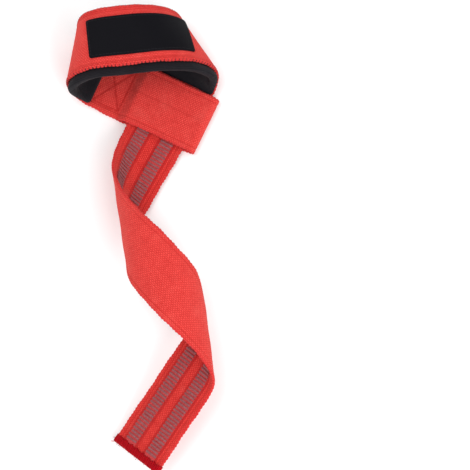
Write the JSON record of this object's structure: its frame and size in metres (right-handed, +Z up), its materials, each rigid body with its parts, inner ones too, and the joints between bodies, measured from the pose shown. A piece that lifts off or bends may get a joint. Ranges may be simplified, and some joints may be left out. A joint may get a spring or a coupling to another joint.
{
  "type": "padded weightlifting wrist strap",
  "caption": "Red cotton webbing strap with a padded wrist loop, a sewn sleeve that the tail passes through, and a twisted tail with grip stripes.",
  "frame": {"origin": "centre of the bounding box's base, on the surface that the strap lies on", "axes": "+Z up, +Y along the length of the lying strap from the tail's end to the wrist loop, +X to the right of the strap seen with the loop at the top"},
  "size_m": [0.0948, 0.2868, 0.0477],
  "materials": {
    "red_webbing": "matte woven cotton webbing",
    "black_foam": "matte knit-faced foam padding",
    "label_cloth": "smooth flat woven patch, blank",
    "grip_rubber": "satin printed grip bars",
    "hem_thread": "dense overlocked thread"
  },
  "bodies": {
    "root": {"webbing_strap": "red_webbing", "wrist_pad": "black_foam", "label_patch": "label_cloth", "grip_stripe_left": "grip_rubber", "grip_stripe_right": "grip_rubber", "tail_hem": "hem_thread"}
  },
  "joints": []
}
